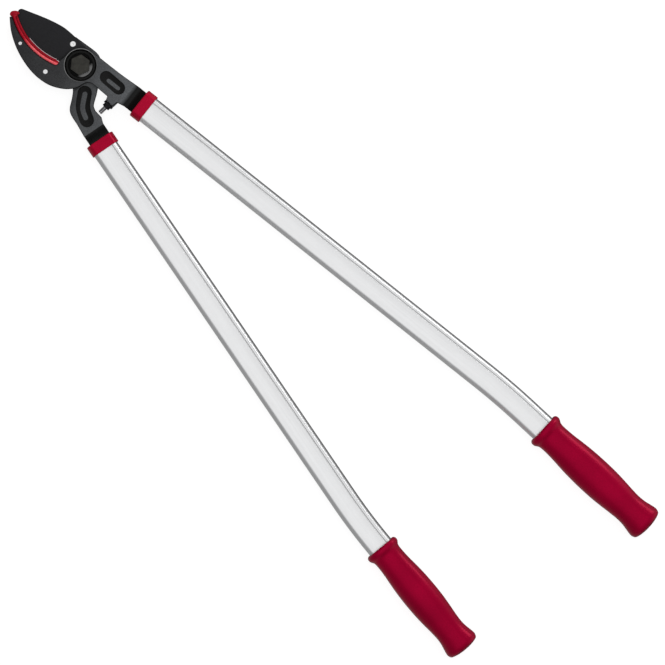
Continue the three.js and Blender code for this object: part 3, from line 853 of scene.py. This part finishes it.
def anvil_outline():
    """The front lever: hook, heel, stop lug, tongue and boss, from the tip round."""
    hook_r = EDGE_R + STRIP_W + 0.3
    line = Outline(on_edge(hook_r, TIP_DEG + 0.3)).to((-20, 88))
    line.smooth(
        (-27.8, 78),
        (-32.9, 69),
        (-37.3, 58.4),
        (-40.4, 47),
        (-42.1, 35.5),
        (-42.3, 25.6),
        (-41.1, 16.4),
        (-38.6, 7.7),
        (-34.6, 0.1),
        (-29.2, -7),
        (-23.4, -12),
        (-17.4, -15.2),
        (-11.6, -16.4),
        (-7.1, -18.4),
        (-4.4, -22.2),
        (-3.6, -27.2),
    )
    line.to((-1.7, SCREW_Y + 6.6), (LUG_X + 0.5, SCREW_Y + 5), (LUG_X, SCREW_Y + 4.4))
    line.to((LUG_X, SCREW_Y - 4.6), (1.2, SCREW_Y - 5.2))
    tang_outline(line, RIGHT, clockwise=True)
    line.smooth((25.4, -40.2), (23.4, -28.8), (21.6, -17.6), (20.2, -8.2), (BOSS_R, 0))
    line.arc(0, 0, BOSS_R, 0, 104)
    line.to((-12.8, 18.5), (-15.9, 16.9), (-19, 17.3))
    return line.edge_arc(hook_r, HEEL_DEG - 0.7, TIP_DEG + 0.3).loop()


def lug():
    """The forged lug under the lever that the stop screw goes through."""
    low = SCREW_Z - 5.6
    section = Outline((SCREW_Y - 5.4, PLATE_IN + 1))
    section.to((SCREW_Y - 5.4, SCREW_Z)).arc(SCREW_Y, SCREW_Z, 5.5, 180, 360, 12)
    section.to((SCREW_Y + 5.4, PLATE_IN + 1))
    shape = plate(section.loop(), [circle(SCREW_Y, SCREW_Z, SCREW_R + 0.15, 32)], LUG_X, 4.2, 0.6)
    turn = Matrix(((0, 0, 1, 0), (1, 0, 0, 0), (0, 1, 0, 0), (0, 0, 0, 1)))
    return moved(shape, turn)


def bolt_recess():
    """The dish round the bolt's head, inside the lever's round hole."""
    floor = PLATE_OUT - RECESS_D
    dish = ring(
        [
            (BOLT_BORE_R, PLATE_IN + 0.1),
            (RECESS_R + 0.05, PLATE_IN + 0.1),
            (RECESS_R + 0.05, PLATE_OUT - 0.9),
            (RECESS_R - 0.9, floor - 0.6),
            (RECESS_FLOOR_R, floor - 0.6),
            (WASHER_R, floor),
            (BOLT_BORE_R, floor),
        ],
        0.5,
        96,
    )
    # The whole dish takes the painted-shade material.
    for side in dish.faces:
        side.material_index = 1
    return dish


def anvil_lever():
    line = [(11, -27.8), (12.9, -45)]
    mouth = 6.3
    holes = [circle(0, 0, RECESS_R, 96), band_along(line, mouth)]
    body = plate(anvil_outline(), holes, PLATE_IN, PLATE_OUT, LEVER_EDGE)
    body = with_set(body, RIGHT)
    floor_line = [(10.4, -31.8), (12.3, -44.6)]
    pocket = panel(line, floor_line, mouth + PANEL_LAP, 2.5, PLATE_IN, PLATE_OUT)
    shape = joined(body, pocket, bolt_recess(), lug())
    make("anvil_lever_forging", shape, (FORGED, RECESS), ANVIL, "lever_black", "anvil_lever")


def blade_lever_outline():
    """The rear lever: head disc, arch, stop face and tongue."""
    line = Outline((16.6, 25.6)).to((20.7, 4.6))
    line.smooth((21.4, -1.6), (20.2, -7.6), (14.5, -15.5), (5, -23.4), (-4.2, -30))
    line.to((-8.9, -33.4))
    line.smooth((-15.3, -37.2), (-19.2, -40.2), (STOP_X, SCREW_Y + 4.8))
    line.to((STOP_X, SCREW_Y - 4.6))
    tang_outline(line, LEFT, clockwise=False)
    line.smooth(
        (-46.9, -49.5),
        (-45.2, -42),
        (-44, -34.8),
        (-42.2, -28.6),
        (-38.6, -24.2),
        (-30.2, -18.4),
        (-23.6, -12.6),
        (-19.6, -5),
    )
    line.smooth((-17.4, 7), (-9, 20.5), (3, 30), (11, 31.6), (16.6, 25.6))
    return line.loop()


def blade_lever():
    line = [(-16.6, -23.6), (-28.4, -33.6), (-34.6, -46.2)]
    mouth = 7.0
    holes = [circle(0, 0, BUSH_BORE_R, 64), band_along(line, mouth)]
    body = plate(blade_lever_outline(), holes, -PLATE_OUT, -PLATE_IN, LEVER_EDGE)
    body = with_set(body, LEFT)
    floor_line = [(-17.4, -24.6), (-29.1, -33.6), (-33.8, -43.4)]
    pocket = panel(line, floor_line, mouth + PANEL_LAP, 3.2, -PLATE_OUT, -PLATE_IN)
    shape = joined(body, pocket)
    make("blade_lever_forging", shape, (FORGED, RECESS), BLADE, "lever_black", "blade_lever")


# ---- blade and anvil ----
def blade():
    outline = Outline(on_edge(EDGE_R, HEEL_DEG + 1.1))
    outline.edge_arc(EDGE_R, HEEL_DEG + 1.1, TIP_DEG - 0.1)
    outline.smooth((-10.4, 86.2), (-7.8, 87.2), (-5.5, 86.4), (-4.2, 84.8))
    outline.smooth(
        (-0.3, 76.7), (4.1, 67.6), (8.3, 58.3), (12, 48.7), (14.4, 40.6), (15.5, 33), (16.1, 25.5)
    )
    outline.arc(0, 0, BLADE_HEAD_R, 10, -218)
    holes = [circle(0, 0, BUSH_BORE_R, 64)]
    shape = plate(outline.loop(), holes, -BLADE_TOP, BLADE_TOP, 0.35)
    make("blade_body", shape, BLADE_COAT, BLADE, "blade_black", "blade")
    bevel = [
        (EDGE_R - 0.9, BLADE_TOP - 0.2),
        (EDGE_R - 0.85, BLADE_TOP + 0.1),
        (EDGE_R - 0.35, BLADE_TOP + 0.1),
        (EDGE_R + 0.04, BLADE_TOP - 0.35),
        (EDGE_R - 0.4, BLADE_TOP - 0.6),
    ]
    edge = arc_bar(bevel, HEEL_DEG - 0.5, (HEEL_DEG + TIP_DEG) / 2 - 4)
    make("blade_edge", edge, GROUND, BLADE, "blade_black")


def arc_bar(section, start, end, step=1.0):
    """A closed section of (radius, z) points swept about the edge's centre."""
    n = round(abs(end - start) / step)
    sections = []
    for i in range(n + 1):
        degrees = start + (end - start) * i / n
        ring_points = []
        for r, z in section:
            p = on_edge(r, degrees)
            ring_points.append((p.x, p.y, z))
        sections.append(ring_points)
    return loft(sections)


def anvil_strip():
    low = -BLADE_TOP - 0.6
    inner = EDGE_R + EDGE_GAP
    outer = EDGE_R + STRIP_W
    bead = closed_rounded(
        [
            (inner - UNDERLAP, low),
            (inner - UNDERLAP, low + 0.35),
            (inner, low + 0.35),
            (inner, LEDGE_TOP),
            (inner + LEDGE_W - 0.5, LEDGE_TOP - 0.3),
            (inner + LEDGE_W - 0.25, LEDGE_TOP - 1.0),
            (inner + LEDGE_W - 0.1, STRIP_TOP - 1.6),
            (inner + LEDGE_W + 0.5, STRIP_TOP - 0.5),
            (inner + LEDGE_W + 1.4, STRIP_TOP),
            (outer - 0.5, STRIP_TOP - 0.5),
            (outer, STRIP_TOP - 1.6),
            (outer, BLADE_TOP),
            (outer + LIP_W, BLADE_TOP),
            (outer + LIP_W, low),
        ],
        0.3,
    )
    body = arc_bar(bead, HEEL_DEG - 0.3, TIP_DEG - 0.9)
    tip = Outline((-12.2, 84.0)).smooth(
        (-10.8, 83.2),
        (-9.7, 84.6),
        (-9.8, 86.6),
        (-11.6, 89.0),
        (-14.4, 90.8),
        (-16.6, 90.7),
        (-18.2, 89.5),
        (-18.5, 88.0),
        (-17.0, 86.8),
        (-14.6, 86.2),
    )
    cap = plate(tip.loop(), [], BLADE_TOP + 0.5, STRIP_TOP - 1.3, 0.9)
    root = Outline(on_edge(inner, TIP_DEG + 1.2)).to((-11.8, 86.2), (-12.2, 89.4), (-17.2, 90))
    root.to(on_edge(outer, TIP_DEG + 1.2))
    cap = joined(cap, plate(root.loop(), [], low + 0.08, STRIP_TOP - 1.2, 0.5))
    heel = Outline(on_edge(outer, HEEL_DEG - 2.2))
    heel.smooth((-18.8, 17.7), (-16.2, 17.3), (-14.4, 18.3), (-14.3, 19.6))
    heel.to(on_edge(inner + LEDGE_W, HEEL_DEG - 2.2))
    foot = plate(heel.loop(), [], low + 0.08, STRIP_TOP - 0.25, 0.7)
    shape = joined(body, cap, foot)
    make("anvil_strip_moulding", shape, STRIP, ANVIL, "strip_red", "anvil_strip")


def anvil_backing():
    front_r = EDGE_R + STRIP_W + LIP_W + 0.3
    line = Outline(on_edge(front_r, 202)).edge_arc(front_r, 202, 156.5)
    line.smooth(
        (-27.6, 73),
        (-34.4, 59),
        (-38.2, 44),
        (-39.2, 30),
        (-37.6, 17),
        (-33.4, 9.4),
        (-27, 8.2),
        (-22.4, 12.6),
    )
    shape = plate(line.loop(), [], -BLADE_TOP, BLADE_TOP, 0.4)
    make("anvil_backing_plate", shape, FORGED, ANVIL, "lever_black", "anvil_backing")


def pin(name, place, low, high, body, node):
    """A riveted pin with a softly domed end and a small centre mark."""
    x, y, r = place
    profile = [
        (0, low),
        (r, low),
        (r, high - 0.1),
        (r, high + 0.1),
        (r * 0.78, high + 0.34),
        (r * 0.4, high + 0.34),
        (r * 0.28, high + 0.12),
        (0, high + 0.12),
    ]
    shape = turned(rounded(profile, 0.25), x, y, 40)
    make(name, shape, BRIGHT, body, "pin_steel", node)


def pins():
    pin("hook_pin_tip", PIN_TIP, -BLADE_TOP - 0.1, PLATE_OUT, ANVIL, "anvil_pin_tip")
    pin("hook_pin_heel", PIN_HEEL, -BLADE_TOP - 0.1, PLATE_OUT, ANVIL, "anvil_pin_heel")
    pin("blade_rivet_head", BLADE_PIN, -PLATE_OUT - 0.7, BLADE_TOP, BLADE, "blade_rivet")


# ---- pivot ----
def hexagon_head(turn, base, face, chamfer=0.35, steps=120):
    """A chamfered hexagon from height base to face, which may lie above or below it."""
    up = math.copysign(1, face - base)
    rows = [(0.0, 0.0), (0.55, 0.0), (1.0, 0.0), (1.0, 1.0)]
    sections = []
    for reach, out in rows:
        section = []
        for i in range(steps):
            a = 360 * i / steps
            full = hexagon_radius(HEAD_AF, turn, a) - 0.12
            r = max(reach * HEAD_FACE_R, 0.004)
            r = r + (full - HEAD_FACE_R) * out
            slope = chamfer * (r - HEAD_FACE_R) / 1.6 if out else 0
            p = polar(0, 0, r, a)
            section.append((p.x, p.y, face - up * max(slope, 0)))
        sections.append(section)
    sections.append([(x, y, base) for x, y, _ in sections[-1]])
    return loft(sections)


def threaded(r, depth, pitch, low, high, steps=28, per_turn=14):
    """A screw about Z with a rounded thread and softened ends."""
    n = round((high - low) / pitch * per_turn)
    sections = []
    for j in range(n + 1):
        z = low + (high - low) * j / n
        ease = min(1, (z - low) / 0.8, (high - z) / 0.8)
        section = []
        for i in range(steps):
            phase = z / pitch - i / steps
            wave = 0.5 + 0.5 * math.cos(2 * math.pi * phase)
            here = r - depth * wave**0.7 - 0.6 * (1 - ease)
            p = polar(0, 0, here, 360 * i / steps)
            section.append((p.x, p.y, z))
        sections.append(section)
    return loft(sections)


def pivot():
    washer_z = PLATE_OUT - RECESS_D + 0.3
    head_z = washer_z + WASHER_T
    rear_z = -PLATE_OUT - 0.5
    bore = BOLT_BORE_R
    head = hexagon_head(HEAD_TURN, head_z, HEAD_TOP)
    end = rounded([(0, -HEAD_TOP), (BOLT_R, -HEAD_TOP), (BOLT_R, head_z + 1)], 0.7)
    shank = turned([*end, Vector((0, head_z + 1))])
    make("pivot_bolt_head", joined(head, shank), OXIDE, ANVIL, "bolt_black", "pivot_bolt")

    washer = ring(washer_section(bore, WASHER_R, washer_z, head_z - 0.1))
    corners = [(9.7, -2.6), (11.5, -2.6), (11.5, 3.0), (9.7, 3.0)]
    tab = plate(corners, [], washer_z + 0.3, HEAD_TOP - 1.6, 0.4)
    tab = moved(tab, Matrix.Rotation(math.radians(TAB_TURN), 4, "Z"))
    whole = joined(washer, tab)
    make("pivot_lock_washer", whole, WASHER, ANVIL, "bolt_black", "pivot_washer")

    rear = ring(washer_section(bore, WASHER_R, rear_z - WASHER_T, rear_z))
    make("rear_washer_ring", rear, OXIDE, ANVIL, "bolt_black", "rear_washer")
    nut = hexagon_head(NUT_TURN, rear_z - WASHER_T - 0.3, -HEAD_TOP + 0.05)
    make("pivot_nut_hex", nut, OXIDE, ANVIL, "bolt_black", "pivot_nut")
    bush = frame["nodes"]["pivot_bush"]
    bush.data.materials.clear()
    bush.data.materials.append(BRIGHT)


# ---- stop screw ----
def along_screw(shape):
    """Turns a piece made about Z to lie about the stop screw's axis."""
    turn = Matrix(((0, 0, 1, 0), (1, 0, 0, SCREW_Y), (0, 1, 0, SCREW_Z), (0, 0, 0, 1)))
    return moved(shape, turn)


def stop_screw():
    low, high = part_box("stop_screw")
    shape = threaded(SCREW_R, THREAD_D, THREAD_PITCH, 1000 * low.x, 1000 * high.x)
    make("stop_screw_thread", along_screw(shape), SCREW, STOP, "pin_steel", "stop_screw")

    face = LUG_X - 0.05
    hex_loop = [polar(0, 0, LOCK_AF / math.sqrt(3) - 0.1, 60 * i) for i in range(6)]
    bore = circle(0, 0, SCREW_R + 0.12, 32)
    hexagon = plate(hex_loop, [bore], face - LOCK_T, face, 0.45)
    rim = circle(0, 0, LOCK_COLLAR_R, 48)
    collar = plate(rim, [bore], LUG_X - LOCK_LEN, face - LOCK_T + 0.2, 0.6)
    nut = along_screw(joined(hexagon, collar))
    make("stop_lock_nut_hex", nut, BLADE_COAT, ANVIL, "bolt_black", "stop_lock_nut")


# ---- handles ----
def oval(width, grow, grooved=False, arc_steps=14):
    """Section of the tube grown by `grow`: flat faces, elliptic sides, two grooves."""
    flat = width / 2 - TUBE_SIDE
    rx = TUBE_SIDE + grow
    ry = TUBE_T / 2 + grow
    groove_x = width / 2 - GROOVE_IN
    loop = []
    for sign in (1, -1):
        loop.append(Vector((-flat * sign, ry * sign)))
        if grooved:
            for k in range(9):
                t = k / 8
                x = groove_x + GROOVE_W * (t - 0.5)
                dip = GROOVE_D * math.sin(math.pi * t) ** 1.4
                loop.append(Vector((x * sign, (ry - dip) * sign)))
        for k in range(arc_steps):
            a = math.pi * (0.5 - k / arc_steps)
            loop.append(Vector(((flat + rx * math.cos(a)) * sign, ry * math.sin(a) * sign)))
    return loop


def groove_depth(point, width):
    """How deep a section's point lies in a groove, from 0 to 1."""
    if abs(point.x) > width / 2 - TUBE_SIDE:
        return 0.0
    return (TUBE_T / 2 - abs(point.y)) / GROOVE_D


def perimeter(loop):
    """Length round a section at each of its points."""
    total = 0.0
    found = [0.0]
    for a, b in zip(loop, loop[1:]):
        total += (b - a).length
        found.append(total)
    return found


def stations(handle, start, end):
    """Lengths along a handle: few where it is straight, close where it bends."""
    found = [start]
    step = 60.0
    s = start + step
    while s < end:
        found.append(s)
        inside = handle.bend_start - step < s < handle.bend_start + BEND_LEN
        s += 5.0 if inside else step
    found.append(end)
    return found


def tube(handle):
    outer = oval(handle.tube_w, 0, grooved=True)
    inner = [p * TUBE_BORE for p in outer]
    end = handle.grip_start + GRIP_LEN * handle.grip_l * TUBE_IN_GRIP
    places = stations(handle, TUBE_START, end)
    sections = [[handle.along(p.x, s, p.y) for p in outer] for s in places]
    sections += [[handle.along(p.x, s, p.y) for p in inner] for s in reversed(places)]
    shape = hollow(sections)
    around = perimeter(outer)
    dips = [groove_depth(p, handle.tube_w) for p in outer]
    flow = [(a, s, d) for s in (*places, *reversed(places)) for a, d in zip(around, dips)]
    name = "tube_" + handle.name
    make(name + "_drawn", shape, ALUMINIUM, handle.body, "tube_aluminium", name, flow=flow)


def collar(handle):
    """A cap over the tube's end with softened rims and a mouth round the tube."""
    corners = [
        (-2.0, 0.0),
        (COLLAR_GROW, 0.0),
        (COLLAR_GROW, COLLAR_LEN),
        (0.25, COLLAR_LEN),
        (0.25, 9.0),
    ]
    path = rounded(corners, 1.3, 6)
    sections = []
    for grow, s in path:
        around = oval(handle.tube_w, grow, arc_steps=20)
        sections.append([handle.at(p.x, s, p.y) for p in around])
    name = "collar_" + handle.name
    make(name + "_cap", loft(sections), COLLAR, handle.body, "grip_red", name)


def grip_section(half_width, half_depth, steps=72):
    """A slightly squared ellipse."""
    power = 2 / 2.25
    section = []
    for i in range(steps):
        a = 2 * math.pi * i / steps
        c, s = math.cos(a), math.sin(a)
        x = math.copysign(abs(c) ** power, c) * half_width
        y = math.copysign(abs(s) ** power, s) * half_depth
        section.append((x, y))
    return section


def grip(handle):
    """A flared moulding with a rolled rim at its mouth."""
    depth = MID / GRIP_HALF
    curve = spline([(0.0, 17.6), *GRIP_PROFILE], 5)
    mouth = [Vector((6.0, 15.4)), Vector((1.2, 15.6)), Vector((0.3, 16.4))]
    sections = []
    for s, half in (*mouth, *curve):
        half = max(half, 0.01)
        base = handle.grip_start + s * handle.grip_l
        half_w = half * handle.grip_w
        half_d = min(half * depth, MID - 0.02)
        section = []
        for x, y in grip_section(half_w, half_d):
            section.append(handle.along(x, base, y))
        sections.append(section)
    name = "grip_" + handle.name
    make(name + "_moulding", loft(sections), GRIP, handle.body, "grip_red", name)


def tang_rivet(handle):
    """A domed blind rivet on the back of the tube."""
    back = -TUBE_T / 2
    profile = [
        (0, back - 1.7),
        (1.2, back - 1.7),
        (2.6, back - 1.45),
        (4.0, back - 0.35),
        (4.0, back - 0.05),
        (2.4, back + 0.2),
        (2.4, 2.4),
        (0, 2.4),
    ]
    place = handle.at(0, RIVET_S)
    shape = turned(rounded(profile, 0.4), place.x, place.y, 40)
    name = "tang_rivet_" + handle.name
    make(name + "_dome", shape, BRIGHT, handle.body, "pin_steel", name)


# ---- studio ----
VIEW_CENTRE = Vector((0.0027, -0.3858, 0.023))
VIEW_UP = Vector((0.6807, 0.7325, 0)).normalized()
VIEW_WIDTH = 0.69825
VIEW_HEIGHT = 5.0


def camera():
    data = bpy.data.cameras.new("camera")
    data.sensor_width = 36
    data.lens = data.sensor_width * VIEW_HEIGHT / VIEW_WIDTH
    data.clip_end = 50
    holder = bpy.data.objects.new("camera", data)
    right = VIEW_UP.cross(Vector((0, 0, 1)))
    turn = Matrix((right, VIEW_UP, Vector((0, 0, 1)))).transposed()
    place = VIEW_CENTRE + Vector((0, 0, VIEW_HEIGHT))
    holder.matrix_world = Matrix.Translation(place) @ turn.to_4x4()
    bpy.context.scene.collection.objects.link(holder)
    bpy.context.scene.camera = holder


def floor():
    size = 12
    mesh = bpy.data.meshes.new("floor")
    corners = [(-size, -size, 0), (size, -size, 0), (size, size, 0), (-size, size, 0)]
    mesh.from_pydata(corners, [], [(0, 1, 2, 3)])
    look = Look("floor", grey(0.2), 0.9)
    look.shader.inputs["Emission Color"].default_value = (1, 1, 1, 1)
    look.shader.inputs["Emission Strength"].default_value = 0.86
    mesh.materials.append(look.material)
    sheet = bpy.data.objects.new("floor", mesh)
    sheet.location.z = -0.0005
    sheet.visible_glossy = False
    bpy.context.scene.collection.objects.link(sheet)


def world():
    """Studio surroundings: bright overhead and towards +X, grey towards -X, dark low down."""
    sky = bpy.data.worlds.new("studio")
    sky.use_nodes = True
    bpy.context.scene.world = sky
    tree = sky.node_tree
    place = tree.nodes.new("ShaderNodeTexCoord")
    axes = tree.nodes.new("ShaderNodeSeparateXYZ")
    tree.links.new(place.outputs["Generated"], axes.inputs["Vector"])

    def lobe(axis, stops):
        node = tree.nodes.new("ShaderNodeFloatCurve")
        curve = node.mapping.curves[0]
        points = [(0.5 + 0.5 * at, value) for at, value in stops]
        curve.points[0].location = points[0]
        curve.points[1].location = points[-1]
        for point in points[1:-1]:
            curve.points.new(*point)
        for point in curve.points:
            point.handle_type = "VECTOR"
        node.mapping.update()
        shift = tree.nodes.new("ShaderNodeMath")
        shift.operation = "MULTIPLY_ADD"
        shift.inputs[1].default_value = 0.5
        shift.inputs[2].default_value = 0.5
        tree.links.new(axes.outputs[axis], shift.inputs[0])
        tree.links.new(shift.outputs["Value"], node.inputs["Value"])
        return node.outputs["Value"]

    def combine(operation, a, b):
        node = tree.nodes.new("ShaderNodeMath")
        node.operation = operation
        tree.links.new(a, node.inputs[0])
        tree.links.new(b, node.inputs[1])
        return node.outputs["Value"]

    low = [(-1, 0.08), (0, 0.04), (0.3, 0.06)]
    high = [(0.6, 0.25), (0.82, 0.5), (0.93, 0.98), (1, 1.02)]
    overhead = lobe("Z", low + high)
    bright = lobe("X", [(-1, 0.0), (0.1, 0.0), (0.4, 0.66), (1, 0.74)])
    dim = lobe("X", [(-1, 0.3), (-0.6, 0.36), (-0.45, 0.4), (-0.2, 0.0), (1, 0.0)])
    above = lobe("Z", [(-1, 0.12), (-0.4, 0.15), (-0.05, 0.85), (0.2, 1.0), (1, 1.0)])
    sides = combine("MAXIMUM", dim, combine("MULTIPLY", bright, above))
    value = combine("MAXIMUM", overhead, sides)
    tree.links.new(value, tree.nodes["Background"].inputs["Color"])
    tree.nodes["Background"].inputs["Strength"].default_value = 1.0


def softbox(name, place, size, power, seen=False):
    """A soft lamp aimed at the tool; `seen` also shows it in reflections."""
    data = bpy.data.lights.new(name, "AREA")
    data.shape = "DISK"
    data.size = size
    data.energy = power
    lamp = bpy.data.objects.new(name, data)
    lamp.location = place
    aim = VIEW_CENTRE - Vector(place)
    lamp.rotation_mode = "QUATERNION"
    lamp.rotation_quaternion = aim.to_track_quat("-Z", "Y")
    lamp.visible_glossy = seen
    lamp.visible_camera = False
    bpy.context.scene.collection.objects.link(lamp)


# ---- build ----
anvil_lever()
blade_lever()
blade()
anvil_strip()
anvil_backing()
pins()
pivot()
stop_screw()
for side in (RIGHT, LEFT):
    tube(side)
    collar(side)
    grip(side)
    tang_rivet(side)

camera()
floor()
world()
softbox("overhead", (0.1, -0.386, 2.8), 2.0, 24)
softbox("fill", (2.2, -0.1, 1.6), 1.2, 22)
softbox("key", (2.3, -0.35, 0.75), 1.0, 6, seen=True)
bpy.context.scene.view_settings.view_transform = "Standard"
